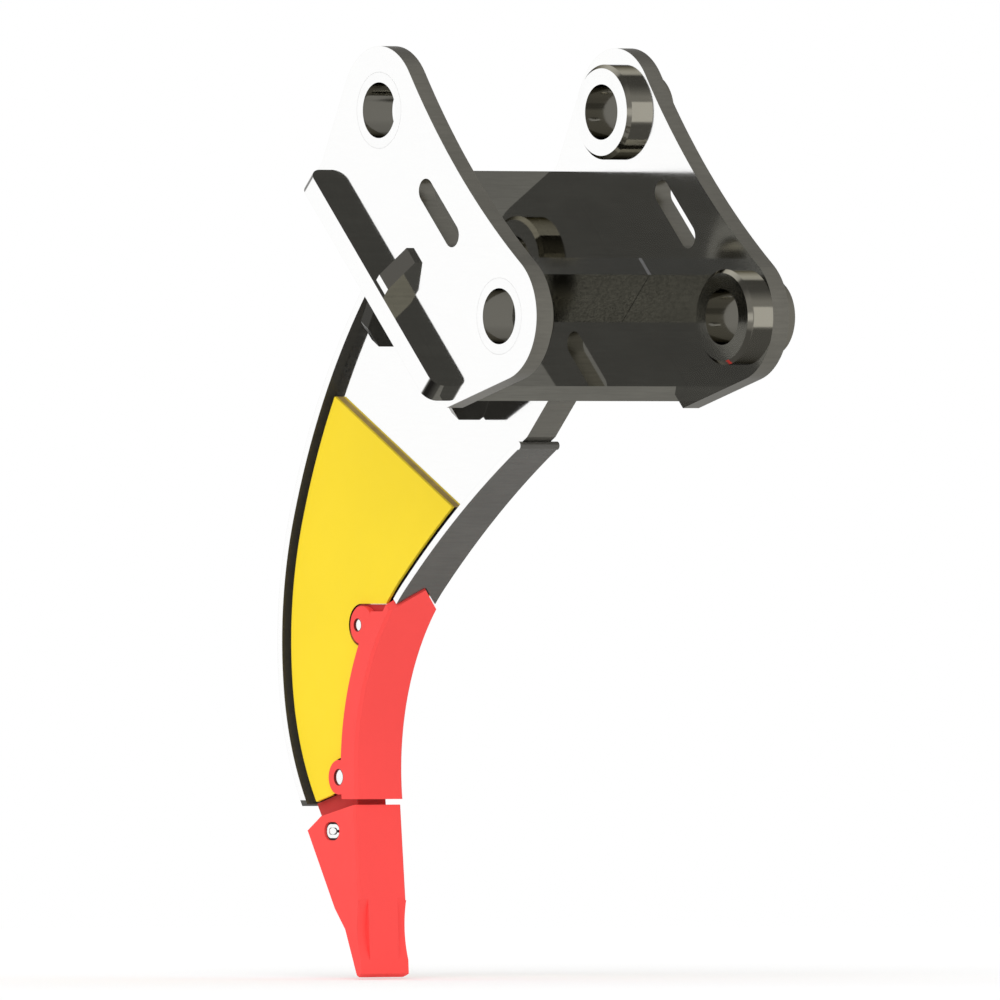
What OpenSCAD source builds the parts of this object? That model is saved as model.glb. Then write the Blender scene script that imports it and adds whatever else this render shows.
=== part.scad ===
// Single-shank ripper for an excavator. Two pin ears stand on a base plate,
// a curved shank hangs under it, and the shank ends in a shroud, a nose
// adapter and a chisel tooth that a split pin holds.
// Millimetres. +Z is up, +X is the hollow front that faces the machine, and Y
// runs along the pins. The origin is the middle of the upper pin bore.
// Left and right are as seen from the machine, so left is -Y.

/* [Pins and ears] */
// Bore for the machine's pins
pin_d = 80; // [65:1:90]
// Distance between the two pin axes
pin_pitch = 419; // [390:1:460]
// Angle of the pin line below the horizontal
head_tilt = 45; // [40:1:50]
// Thickness of each ear
ear_t = 28; // [20:1:35]
// Clear width between the ears
ear_gap = 388; // [340:1:420]
// Radius of the ear about each pin
ear_end_r = 92; // [85:1:100]
// Height of the hollow edge over the pin line, half way between the pins
ear_waist = 75; // [60:1:82]
// Distance from the pin line down to the base plate
ear_h = 153; // [130:1:175]
// How far an ear reaches past each end of the base plate
ear_hook = 14; // [6:1:20]
// Length of the slot in each ear
slot_l = 125; // [90:1:150]
// Width of the slot in each ear
slot_w = 35; // [20:1:45]

/* [Pin bosses] */
// Outer diameter of the boss where it passes through the ear
boss_d = 109; // [102:1:120]
// Outer diameter of the collar on the inner side
collar_d = 137; // [125:1:150]
// Length of the collar
collar_l = 24; // [12:1:36]
// Chamfer on the rim of the collar
collar_chamfer = 5.5; // [2:0.5:8]
// Length of the pin-lock part outside the right ear
lock_l = 38; // [26:1:50]
// Diameter of the cross hole for the pin-lock bolt
lock_bolt_d = 20; // [12:1:24]

/* [Base plate] */
// Length along the pin line
plate_l = 440; // [410:1:480]
// How far the plate stands out from the outer face of each ear
plate_side = 30.5; // [30:0.5:60]
// Thickness
plate_t = 30; // [20:1:40]
// Corner radius
plate_corner_r = 20; // [8:1:30]
// How far the plate reaches behind the upper pin
plate_back = 34; // [20:1:50]
// Thickness of the cross bar between the ears
bar_t = 34; // [24:1:44]
// Height of the cross bar
bar_h = 48; // [30:1:60]
// Thickness of the gusset outside each ear
fin_t = 30; // [20:1:40]
// Width of that gusset, out from the ear
fin_w = 27; // [18:1:30]
// Height of that gusset at the ear
fin_h = 68; // [50:1:90]
// Height of that gusset at its outer end
fin_toe = 14; // [8:1:24]
// Flat on top of that gusset, at the ear
fin_flat = 6.5; // [3:0.5:10]

/* [Shank] */
// Thickness of the shank web
web_t = 50; // [40:1:60]
// Centre of the upper back curve, ahead of the upper pin
back_x = 457; // [430:1:480]
// Centre of the upper back curve, below the upper pin
back_z = 890; // [860:1:920]
// Radius of the upper back of the web
back_r = 973; // [940:1:1000]
// Radius of the middle of the back
mid_back_r = 560; // [500:1:620]
// Radius of the lower back
low_back_r = 400; // [350:1:450]
// Angle at which the upper back runs into the middle one
mid_back_a = 162; // [156:1:168]
// Angle at which the middle back runs into the lower one
low_back_a = 188; // [182:1:194]
// Radius of the hollow front edge of the web
front_r = 1704; // [1500:1:1900]
// Distance of the straight front edge from the front end of the base plate
front_inset = 12; // [4:1:40]
// Depth of the shank's end below the upper pin, at its front
shank_drop = 970; // [950:1:990]
// Slope of the shank's end
end_tilt = 14.5; // [8:0.5:20]
// Thickness of the rear flange
flange_t = 12; // [8:1:24]
// How far the flange stands out from each side of the web
flange_side = 17.5; // [11:0.5:25]

/* [Gussets under the base plate] */
// Thickness
rib_t = 20; // [14:1:28]
// Width, out from the web
rib_w = 72; // [50:1:100]
// Chamfer on the lower outer corner
rib_chamfer = 30; // [15:1:40]
// Relief for the weld on the lower inner corner
rib_relief = 5; // [3:0.5:10]
// Lean, forward of square to the plate
rib_lean = 15; // [0:1:20]
// Length of the front gusset
front_rib_l = 150; // [120:1:170]
// Length of the rear gusset
rear_rib_l = 218; // [170:1:240]
// Place of the front gusset along the pin line
front_rib_u = 260; // [240:1:300]
// Place of the rear gusset along the pin line
rear_rib_u = 27; // [10:1:60]

/* [Wear strip and side plates] */
// Thickness of the front wear strip
strip_t = 10.6; // [8:0.2:13]
// How far the strip stands out from each side of the web
strip_side = 9.5; // [5:0.5:14]
// Radius of the bead at the upper end of the strip
strip_bead_r = 6; // [5:0.5:9]
// Distance of the strip's upper end from the corner of the web
strip_start = 14; // [8:1:30]
// Least distance of the strip's upper end from the base plate
strip_plate_gap = 5; // [2:1:10]
// Distance of the strip's lower end above the foot of the shroud's tongue
strip_stop = 12; // [8:1:20]
// Thickness of the side wear plates
cover_t = 10; // [6:0.5:14]
// Distance from the side wear plates to the rear flange
cover_back_gap = 12; // [6:1:18]
// Distance from the side wear plates to the front wear strip
cover_front_gap = 8; // [4:1:14]
// Gap round the shroud in the side wear plates
cover_shroud_gap = 3; // [2:0.5:6]
// Gap round the shroud's pads in the side wear plates
cover_pad_gap = 0.6; // [0.4:0.2:2]
// Depth of the upper edge of the side wear plates below the web's front corner
cover_drop = 194; // [170:1:225]
// Slope of that edge, down to the front
cover_slope = 28.6; // [20:0.1:35]

/* [Shroud] */
// Centre of the nose curve, ahead of the upper pin
nose_x = 30; // [20:1:40]
// Centre of the nose curve, below the upper pin
nose_z = 946; // [930:1:960]
// Radius of the shroud's hollow front face
shroud_r = 343; // [325:1:360]
// Thickness of the front wall
shroud_wall = 14; // [10:0.5:20]
// Depth of the cheeks, from the front face
cheek_depth = 37; // [30:1:44]
// Thickness of the cheeks
cheek_t = 17; // [13:0.5:22]
// Bevel on the front edges
shroud_bevel = 4; // [2:0.5:6]
// Angle at which the nose curve runs into the long front curve
nose_top_a = 131.6; // [129:0.1:134]
// Angle of the foot of the tongue on the front face
tongue_a = 138.5; // [136:0.5:142]
// Length of the pointed tongue at the top
tongue_l = 43; // [30:1:50]
// How far the shroud reaches below the front of the shank's end
shroud_reach = 20; // [10:0.5:24]

/* [Shroud pins and lugs] */
// Diameter of the upper shroud pin
upper_pin_d = 17; // [12:1:20]
// Angle of the upper pin on the nose curve
upper_pin_a = 148.5; // [146:0.1:151]
// Distance of the upper pin behind the edge of the cheeks
upper_pin_out = 17; // [8:1:20]
// Radius of the upper lug
upper_lug_r = 27.5; // [24:0.5:29]
// Distance of the upper lug's centre ahead of its pin
upper_lug_x = 9.5; // [5:0.5:12]
// Step from the cheeks' sides in to the lugs' sides
lug_step = 0.5; // [0.2:0.1:1]
// Radius of the pads under the upper lugs
pad_r = 30; // [27:0.5:34]
// How far the pads reach ahead of the upper pin
pad_l = 75; // [45:1:80]
// Distance of the pads behind the web's front edge
pad_inset = 2.5; // [2:0.5:6]
// Thickness of the pads
pad_t = 7; // [4:0.5:9]
// Diameter of the lower shroud pin
lower_pin_d = 22; // [16:1:26]
// Height of the lower pin over the front of the shank's end
lower_pin_h = 11.5; // [10:0.5:20]
// Distance of the lower pin behind the edge of the cheeks
lower_pin_out = 6; // [2:1:10]
// Radius of the lower lug
lower_lug_r = 25; // [22:0.5:28]

/* [Adapter and tooth] */
// Length of the adapter along the shank's end
adapter_l = 106.5; // [95:0.5:108]
// Set-back of the nose behind the shank's front
nose_step = 7; // [4:0.5:10]
// Depth of that step
nose_step_h = 13; // [8:1:18]
// How far the nose's front runs forward, down to its end
nose_lean = 13; // [8:0.5:18]
// Depth of the nose below the shank's end
nose_l = 148; // [135:1:152]
// Thickness of the nose's end
nose_end_t = 34; // [26:1:36]
// Room round the nose in the tooth
nose_gap = 1; // [0.5:0.25:2]
// Thickness of the tooth's side walls
tooth_wall = 17; // [13:0.5:22]
// Depth of the tooth's front top below the shank's end
tooth_top = 28; // [24:1:32]
// How far the tooth's front top stands ahead of the shank's end
tooth_front = 9.5; // [8:0.5:16]
// Depth of the knee in the tooth's front
knee_h = 166; // [155:1:175]
// How far the knee stands ahead of the shank's end
knee_x = 22.5; // [19:0.5:27]
// Depth of the tip below the shank's end
tip_h = 277; // [255:1:290]
// How far the tip stands ahead of the shank's end
tip_x = 28; // [25:0.5:33]
// Thickness of the tip
tip_t = 10; // [5:0.5:14]
// Radius of the tip's corners
tip_corner_r = 5; // [2:0.5:8]
// Depth of the tooth's heel below the shank's end
heel_h = 66; // [56:1:70]
// Distance of the top's bend ahead of the heel
heel_l = 34; // [24:1:40]
// Rise of the top from the heel to the bend
heel_rise = 21; // [12:1:26]
// Depth at which the box of the tooth ends at the back
box_h = 178; // [170:1:186]
// Distance of the box's end behind the shank's front
box_x = 38.5; // [34:0.5:44]
// Depth at which the blade begins at the back
blade_h = 208; // [198:1:218]
// Distance of the blade's beginning behind the shank's front
blade_x = 12.5; // [8:0.5:18]
// Bevel on the front edges
tooth_bevel = 3; // [1.5:0.5:5]
// Depth of the scallops in the front edges
scallop_depth = 7; // [4:0.5:9]
// Radius of the scallops
scallop_r = 145; // [120:1:170]
// Depth of the scallops' middle below the shank's end
scallop_h = 207; // [195:1:215]
// Width of the rib between the scallops
scallop_rib = 52; // [40:1:60]

/* [Tooth pin] */
// Length of the pin's section
lock_pin_l = 31; // [26:1:34]
// Height of the pin's section
lock_pin_h = 20; // [16:1:22]
// Wall of the pin
lock_pin_wall = 5; // [4:0.5:6]
// Slit in the pin
lock_pin_slit = 4; // [3:0.5:6]
// Thickness of the rubber sleeve round the pin
lock_rubber = 3; // [2:0.5:4]
// How far the rubber lies below the tooth's sides
lock_rubber_recess = 4; // [2:0.5:6]
// Distance of the pin behind the shank's front
lock_pin_x = 46; // [42:0.5:52]
// Depth of the pin below the shank's end
lock_pin_z = 66.5; // [62:0.5:72]

/* [Fits] */
// Diametral clearance of bosses and pins in their holes
bore_fit = 0.4; // [0.2:0.1:0.8]
// Gap between curved pieces that lie on each other
seat_gap = 0.3; // [0.1:0.1:0.5]
// Gap between the shroud's tongue and the wear strip
tongue_gap = 2; // [1:0.5:4]
// How far pin ends lie below the faces
pin_recess = 2.5; // [0.5:0.5:4]

/* [Hidden] */
$fn = 96;
// Degrees of arc for each facet of the long curves, and of the ears' round ends
arc_step = 1;
end_step = 3;
// Facets of the true circles with long radii
long_fn = 360;
// More than the part's reach, for half planes
far = 3000;
// How far cutters run past the faces that they cut
past = 1;

// Ends of the base plate along the pin line, and its faces below that line
plate_u0 = -plate_back;
plate_u1 = plate_l - plate_back;
plate_top = -ear_h;
plate_low = -ear_h - plate_t;
plate_w = ear_gap + 2 * (ear_t + plate_side);
mid_u = pin_pitch / 2;

// Hollow edge of the ears: a circle that touches both end radii
waist_r = (pow(mid_u, 2) + pow(ear_waist, 2) - pow(ear_end_r, 2))
    / (2 * (ear_end_r - ear_waist));
waist_v = waist_r + ear_waist;

// Back of the shank: three arcs in one smooth line, which overshoots its ends
back_c = [back_x, -back_z];
mid_back_c = back_c + (back_r - mid_back_r) * heading(mid_back_a);
low_back_c = mid_back_c + (mid_back_r - low_back_r) * heading(low_back_a);
back_top_a = 115;
back_end_a = 222;

// Front of the shank: the nose in the shroud, then a long curve that touches it
nose_c = [nose_x, -nose_z];
nose_r = shroud_r + shroud_wall;
nose_end_a = 194;
front_c = nose_c - (front_r - nose_r) * heading(nose_top_a);
web_front_u = plate_u1 - front_inset;
web_corner = line_to_circle(web_front_u, front_c, front_r);

// The shank's end at its front corner, which carries the adapter and the tooth
end_z = -shank_drop;
shank_end = [nose_c[0] - sqrt(pow(nose_r, 2) - pow(end_z - nose_c[1], 2)), end_z];

flange_w = web_t + 2 * flange_side;
strip_w = web_t + 2 * strip_side;
shroud_w = web_t + 2 * cheek_t;
tooth_w = web_t + 2 * tooth_wall;

// The foot of the shroud's tongue on the front face sets the cheeks' top
tongue_foot = nose_c + shroud_r * heading(tongue_a);
tongue_end_a = nose_top_a - 4;
cheek_r = shroud_r + cheek_depth;

// Ends of the wear strip, as angles about the long front curve's centre and the nose
// curve's. It starts from the web's corner, or from the base plate where that is lower
strip_plate_v = plate_low - strip_bead_r - strip_plate_gap;
strip_top_a = max(
    angle_at(front_c, web_corner) + arc_angle(strip_start, front_r),
    level_angle(strip_plate_v, front_c, front_r - strip_bead_r)
);
strip_low_a = max(nose_top_a + arc_step, tongue_a - arc_angle(strip_stop, nose_r));

// Shroud pins, and the tooth pin
upper_pin = nose_c + (cheek_r + upper_pin_out) * heading(upper_pin_a);
lower_pin_z = end_z + lower_pin_h;
lower_pin_r = cheek_r + lower_pin_out;
lower_pin = [nose_c[0] - sqrt(pow(lower_pin_r, 2) - pow(lower_pin_z - nose_c[1], 2)), lower_pin_z];
lock_pin = shank_end - [lock_pin_x, lock_pin_z];

steel = "#d9d9d6";
dark_steel = "#5f5e58";
wear_yellow = "#fde137";
paint_red = "#ff5450";
rubber = "#2b2b2b";

// A unit vector at an angle
function heading(a) = [cos(a), sin(a)];

// The angle of a point about a centre, from 0 to 360
function angle_at(c, p) = (atan2(p[1] - c[1], p[0] - c[0]) + 360) % 360;

// The angle that a length takes up on a circle
function arc_angle(l, r) = l / r * 180 / PI;

// Points of an arc
function arc(c, r, a0, a1, step = arc_step) =
    let (n = ceil(abs(a1 - a0) / step))
    [for (i = [0 : n]) c + r * heading(a0 + (a1 - a0) * i / n)];

// The angle at which a line from an outer point touches a circle
function touch_angle(c, r, p, side) = angle_at(c, p) + side * acos(r / norm(p - c));

// A point of the head, along the pin line and square to it, in the side view
function from_head(u, v) =
    [u * cos(head_tilt) + v * sin(head_tilt), v * cos(head_tilt) - u * sin(head_tilt)];

// Where a line square to the pin line, coming down from the head, meets a circle
function line_to_circle(u, c, r) =
    let (
        p = from_head(u, 0) - c,
        d = from_head(0, 1),
        b = p * d
    )
    c + p + (sqrt(b * b - p * p + r * r) - b) * d;

// The angle at which a circle falls below a distance from the pin line
function level_angle(v, c, r) =
    let (d = from_head(0, 1))
    angle_at([0, 0], d) + acos((v - c * d) / r);

// The back of the shank from top to bottom, moved outwards
function back_path(out) = concat(
    arc(back_c, back_r + out, back_top_a, mid_back_a),
    arc(mid_back_c, mid_back_r + out, mid_back_a, low_back_a),
    arc(low_back_c, low_back_r + out, low_back_a, back_end_a)
);

// The front of the shank from bottom to top, moved inwards
function front_path(inset) =
    let (
        u = web_front_u - inset,
        corner = line_to_circle(u, front_c, front_r + inset)
    )
    concat(
        arc(nose_c, nose_r + inset, nose_end_a, nose_top_a),
        arc(front_c, front_r + inset, nose_top_a, angle_at(front_c, corner)),
        [from_head(u, plate_top)]
    );

// A side-view outline made solid, from y0 over a width t
module slab(y0, t) {
    translate([0, y0 + t, 0])
        rotate([90, 0, 0])
            linear_extrude(t)
                children();
}

// The same, centred on the middle plane
module mid_slab(t) {
    slab(-t / 2, t) children();
}

// The right-hand piece of a pair, or its mirror image on the left
module on_side(side) {
    if (side > 0)
        children();
    else
        mirror([0, 1, 0]) children();
}

// Turns pieces that are made along the pin line to their place
module head_frame() {
    rotate([0, head_tilt, 0]) children();
}

// A pin or a hole across the part
module cross_pin(p, d, l) {
    translate([p[0], 0, p[1]])
        rotate([90, 0, 0])
            cylinder(d = d, h = l, center = true);
}

module rounded_rectangle(l, w, r) {
    translate([r, 0]) square([l - 2 * r, w]);
    translate([0, r]) square([l, w - 2 * r]);
    for (x = [r, l - r], y = [r, w - r])
        translate([x, y]) circle(r);
}

module obround(l, h) {
    square([l - h, h], center = true);
    for (x = [-1, 1])
        translate([x * (l - h) / 2, 0]) circle(d = h);
}

// The half plane under the base plate
module below_plate() {
    rotate(-head_tilt)
        translate([-far, plate_low - far])
            square([2 * far, far]);
}

// The half plane over the shank's end
module above_end() {
    translate(shank_end)
        rotate(end_tilt)
            translate([-far, 0])
                square([2 * far, far]);
}

// The shank's side view between its back and its front, with open ends
module shank_sides(back_out, inset) {
    polygon(concat(back_path(back_out), front_path(inset)));
}

module shank_outline(back_out, inset) {
    intersection() {
        shank_sides(back_out, inset);
        below_plate();
        above_end();
    }
}

// Side view of an ear along the pin line
module ear_outline() {
    pins = [[0, 0], [pin_pitch, 0]];
    rear_foot = [plate_u0 - ear_hook, plate_top];
    front_foot = [plate_u1 + ear_hook, plate_low];
    rear_a = touch_angle(pins[0], ear_end_r, rear_foot, -1);
    front_a = touch_angle(pins[1], ear_end_r, front_foot, 1) - 360;
    waist_a = atan2(waist_v, mid_u);
    difference() {
        polygon(concat(
            arc(pins[0], ear_end_r, rear_a, waist_a, end_step),
            arc([mid_u, waist_v], waist_r, 180 + waist_a, 360 - waist_a),
            arc(pins[1], ear_end_r, 180 - waist_a, front_a, end_step),
            [front_foot, [rear_foot[0], plate_low], rear_foot]
        ));
        translate([plate_u0, plate_low - past]) square([plate_l, plate_t + past]);
        translate([mid_u, 0]) obround(slot_l, slot_w);
        for (p = pins)
            translate(p) circle(d = boss_d + bore_fit);
    }
}

module ear(side) {
    color(steel)
        on_side(side)
            head_frame()
                slab(ear_gap / 2, ear_t) ear_outline();
}

// Section of a boss: collar inside the ear, body through it and beyond
module boss_section(in_face, out_face) {
    polygon([
        [pin_d / 2, in_face],
        [collar_d / 2 - collar_chamfer, in_face],
        [collar_d / 2, in_face + collar_chamfer],
        [collar_d / 2, ear_gap / 2],
        [boss_d / 2, ear_gap / 2],
        [boss_d / 2, out_face],
        [pin_d / 2, out_face]
    ]);
}

module pin_boss(side, u, outer_l) {
    out_face = ear_gap / 2 + ear_t + outer_l;
    color(steel)
        on_side(side)
            head_frame()
                translate([u, 0, 0])
                    difference() {
                        rotate([-90, 0, 0])
                            rotate_extrude()
                                boss_section(ear_gap / 2 - collar_l, out_face);
                        if (outer_l > 0)
                            translate([0, out_face - outer_l / 2, 0])
                                cylinder(d = lock_bolt_d, h = boss_d + 2 * past, center = true);
                    }
}

module base_plate() {
    color(steel)
        head_frame()
            translate([plate_u0, -plate_w / 2, plate_low])
                linear_extrude(plate_t)
                    rounded_rectangle(plate_l, plate_w, plate_corner_r);
}

module cross_bar() {
    color(dark_steel)
        head_frame()
            translate([mid_u - bar_t / 2, -ear_gap / 2, plate_top])
                cube([bar_t, ear_gap, bar_h]);
}

// Gusset on the base plate, against the outer face of an ear
module ear_gusset(side) {
    color(dark_steel)
        on_side(side)
            head_frame()
                translate([mid_u - fin_t / 2, ear_gap / 2 + ear_t, plate_top])
                    rotate([90, 0, 90])
                        linear_extrude(fin_t)
                            polygon([
                                [0, 0], [fin_w, 0], [fin_w, fin_toe],
                                [fin_flat, fin_h], [0, fin_h]
                            ]);
}

// Gusset under the base plate, against the side of the web and inside the flange
module under_gusset(side, u, l) {
    color(dark_steel)
        on_side(side)
            intersection() {
                head_frame()
                    difference() {
                        translate([u, web_t / 2, plate_low])
                            rotate([0, -rib_lean, 0])
                                translate([-rib_t, 0, 0])
                                    rotate([90, 0, 90])
                                        linear_extrude(rib_t)
                                            polygon([
                                                [0, rib_t], [rib_w, rib_t],
                                                [rib_w, rib_chamfer - l],
                                                [rib_w - rib_chamfer, -l],
                                                [rib_relief, -l], [0, rib_relief - l]
                                            ]);
                        translate([-far, -far, plate_low]) cube(2 * far);
                    }
                slab(0, web_t + rib_w) shank_sides(0, 0);
            }
}

module shroud_pin_holes() {
    cross_pin(upper_pin, upper_pin_d + bore_fit, shroud_w + 2 * past);
    cross_pin(lower_pin, lower_pin_d + bore_fit, shroud_w + 2 * past);
}

module shank_web() {
    color(steel)
        difference() {
            mid_slab(web_t) shank_outline(0, 0);
            shroud_pin_holes();
        }
}

module rear_flange() {
    inner = back_path(seat_gap);
    outer = back_path(seat_gap + flange_t);
    color(steel)
        mid_slab(flange_w)
            intersection() {
                polygon(concat(outer, [for (i = [len(inner) - 1 : -1 : 0]) inner[i]]));
                below_plate();
                above_end();
            }
}

// The plane that touches the shroud's front at the tongue's foot: outlines in it
// have Y as their x, and the way down the front as their y
module at_tongue() {
    translate([tongue_foot[0], 0, tongue_foot[1]])
        rotate([0, 90 - tongue_a, 0])
            rotate([0, 0, 90])
                linear_extrude(4 * cheek_depth, center = true)
                    children();
}

// What the wear strip leaves free for the pointed tongue
module tongue_notch() {
    rise = tongue_gap * norm([tongue_l, shroud_w / 2]) / (shroud_w / 2);
    at_tongue()
        translate([0, -rise])
            polygon([[-shroud_w, tongue_l], [shroud_w, tongue_l], [0, -tongue_l]]);
}

// What lies over the pointed tongue
module over_tongue() {
    at_tongue()
        polygon([
            [0, -tongue_l], [shroud_w, tongue_l], [shroud_w, -3 * tongue_l],
            [-shroud_w, -3 * tongue_l], [-shroud_w, tongue_l]
        ]);
}

// The line of the wear strip on the web's front, moved out into the hollow
function strip_path(out) = concat(
    arc(front_c, front_r - out, strip_top_a, nose_top_a),
    arc(nose_c, nose_r - out, nose_top_a, strip_low_a)
);

module front_wear_strip() {
    inner = strip_path(seat_gap);
    outer = strip_path(seat_gap + strip_t);
    bead = front_c + (front_r - seat_gap - strip_bead_r) * heading(strip_top_a);
    color(dark_steel)
        difference() {
            union() {
                mid_slab(strip_w)
                    polygon(concat(inner, [for (i = [len(outer) - 1 : -1 : 0]) outer[i]]));
                cross_pin(bead, 2 * strip_bead_r, strip_w);
            }
            tongue_notch();
        }
}

// Side view of a pad: a round end about the upper pin and a straight front
module pad_outline(grow) {
    translate(upper_pin) {
        circle(pad_r + grow);
        translate([0, -pad_r - grow]) square([pad_l, 2 * (pad_r + grow)]);
    }
}

module shroud_pad(side) {
    color(paint_red)
        on_side(side)
            difference() {
                slab(web_t / 2, pad_t)
                    intersection() {
                        pad_outline(0);
                        shank_outline(0, pad_inset);
                    }
                shroud_pin_holes();
            }
}

// Side view of a wear plate: the shank's own curves, drawn in, less the shroud
module cover_outline() {
    difference() {
        intersection() {
            shank_outline(-cover_back_gap, cover_front_gap);
            translate(web_corner - [0, cover_drop])
                rotate(-cover_slope)
                    translate([-far, -far]) square([2 * far, far]);
        }
        intersection() {
            translate(nose_c) circle(cheek_r + cover_shroud_gap, $fn = long_fn);
            translate([-far, tongue_foot[1] + cover_shroud_gap - 2 * far]) square(2 * far);
        }
        pad_outline(cover_pad_gap);
        translate(lower_pin) circle(lower_lug_r + cover_shroud_gap);
    }
}

module side_wear_plate(side) {
    color(wear_yellow)
        on_side(side)
            slab(web_t / 2, cover_t) cover_outline();
}

// Section of the shroud: radius from the nose curve's axis, and width
module shroud_section() {
    half_w = shroud_w / 2;
    polygon([
        [shroud_r, half_w - shroud_bevel], [shroud_r + shroud_bevel, half_w],
        [cheek_r, half_w], [cheek_r, -half_w],
        [shroud_r + shroud_bevel, -half_w], [shroud_r, shroud_bevel - half_w]
    ]);
}

module shroud_sweep() {
    translate([nose_c[0], 0, nose_c[1]])
        rotate([90, 0, 0])
            rotate([0, 0, tongue_end_a])
                rotate_extrude(angle = nose_end_a - tongue_end_a, $fn = long_fn)
                    shroud_section();
}

// The cheeks end level with the tongue's foot, and only the front wall goes on
module over_cheeks() {
    difference() {
        translate([-far, -far, tongue_foot[1]]) cube(2 * far);
        translate([nose_c[0], 0, nose_c[1]])
            rotate([90, 0, 0])
                cylinder(r = nose_r, h = 2 * far, center = true, $fn = long_fn);
    }
}

module shroud_lugs() {
    mid_slab(shroud_w - 2 * lug_step) {
        translate(upper_pin + [upper_lug_x, 0]) circle(upper_lug_r);
        translate(lower_pin) circle(lower_lug_r);
    }
}

module shroud_blank() {
    difference() {
        shroud_sweep();
        over_tongue();
        over_cheeks();
        translate([-far, -far, end_z - shroud_reach - 2 * far]) cube(2 * far);
    }
    shroud_lugs();
}

module shroud() {
    color(paint_red)
        difference() {
            shroud_blank();
            mid_slab(web_t + 2 * seat_gap) shank_sides(0, -seat_gap);
            mid_slab(web_t + 2 * (pad_t + seat_gap))
                intersection() {
                    pad_outline(seat_gap);
                    shank_sides(0, pad_inset - seat_gap);
                }
            shroud_pin_holes();
        }
}

module shroud_pin(p, d) {
    color(steel)
        cross_pin(p, d, shroud_w - 2 * pin_recess);
}

// Side view of the adapter: a top on the shank's end and a tapered nose
module adapter_outline(grow) {
    front_x = nose_lean - nose_step + grow;
    polygon([
        [grow, 0],
        [grow - nose_step, -nose_step_h],
        [front_x, -nose_l - grow],
        [front_x - nose_end_t - 2 * grow, -nose_l - grow],
        [-adapter_l - grow, -adapter_l * tan(end_tilt)]
    ]);
}

// The oblong hole for the tooth pin in its rubber sleeve
module lock_hole() {
    room = 2 * lock_rubber + bore_fit;
    translate([lock_pin[0], 0, lock_pin[1]])
        rotate([90, 0, 0])
            linear_extrude(tooth_w + 2 * past, center = true)
                obround(lock_pin_l + room, lock_pin_h + room);
}

module nose_adapter() {
    color(paint_red)
        difference() {
            mid_slab(web_t) translate(shank_end) adapter_outline(0);
            lock_hole();
        }
}

// Side view of the tooth, from its front top round by the tip to the heel
module tooth_outline() {
    polygon([
        [tooth_front, -tooth_top],
        [knee_x, -knee_h],
        [tip_x, tip_t / 2 - tip_h],
        [tip_x - tip_t, -tip_h],
        [-blade_x, -blade_h],
        [-box_x, -box_h],
        [-adapter_l, -heel_h],
        [heel_l - adapter_l, heel_rise - heel_h]
    ]);
}

// Front view of the tooth, with round corners at the tip
module tooth_front_view() {
    translate([-tooth_w / 2, -tip_h])
        rounded_rectangle(tooth_w, 2 * tip_h, tip_corner_r);
}

// Bevels along the front edges of the tooth, from its top to the knee
module edge_bevels() {
    run = [knee_x - tooth_front, tooth_top - knee_h];
    for (side = [-1, 1])
        translate([tooth_front, side * tooth_w / 2, -tooth_top])
            rotate([0, -atan2(run[1], run[0]), 0])
                rotate([45, 0, 0])
                    translate([0, -tooth_bevel / sqrt(2), -tooth_bevel / sqrt(2)])
                        cube([norm(run), tooth_bevel * sqrt(2), tooth_bevel * sqrt(2)]);
}

// The circle that cuts a scallop into the blade's front, in the side view
module scallop() {
    lean = atan2(tip_x - knee_x, tip_h - knee_h);
    face_x = knee_x + (scallop_h - knee_h) * tan(lean);
    translate([face_x, -scallop_h] + (scallop_r - scallop_depth) * heading(lean))
        circle(scallop_r, $fn = long_fn);
}

// A plain middle rib between two scalloped sides
module tooth_blank() {
    mid_slab(scallop_rib) tooth_outline();
    mid_slab(tooth_w)
        difference() {
            tooth_outline();
            scallop();
        }
}

module tooth() {
    color(paint_red)
        difference() {
            translate([shank_end[0], 0, shank_end[1]])
                difference() {
                    intersection() {
                        tooth_blank();
                        rotate([90, 0, 90])
                            linear_extrude(2 * tip_h, center = true) tooth_front_view();
                    }
                    mid_slab(web_t + 2 * nose_gap) adapter_outline(nose_gap);
                    edge_bevels();
                }
            lock_hole();
        }
}

// A split spring pin, open to the front
module tooth_pin() {
    color(steel)
        translate([lock_pin[0], 0, lock_pin[1]])
            rotate([90, 0, 0])
                linear_extrude(tooth_w - 2 * pin_recess, center = true)
                    difference() {
                        obround(lock_pin_l, lock_pin_h);
                        obround(lock_pin_l - 2 * lock_pin_wall, lock_pin_h - 2 * lock_pin_wall);
                        translate([0, -lock_pin_slit / 2]) square([lock_pin_l, lock_pin_slit]);
                    }
}

module tooth_pin_lock() {
    color(rubber)
        translate([lock_pin[0], 0, lock_pin[1]])
            rotate([90, 0, 0])
                linear_extrude(tooth_w - 2 * lock_rubber_recess, center = true)
                    difference() {
                        obround(lock_pin_l + 2 * lock_rubber, lock_pin_h + 2 * lock_rubber);
                        obround(lock_pin_l + bore_fit, lock_pin_h + bore_fit);
                    }
}

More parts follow.
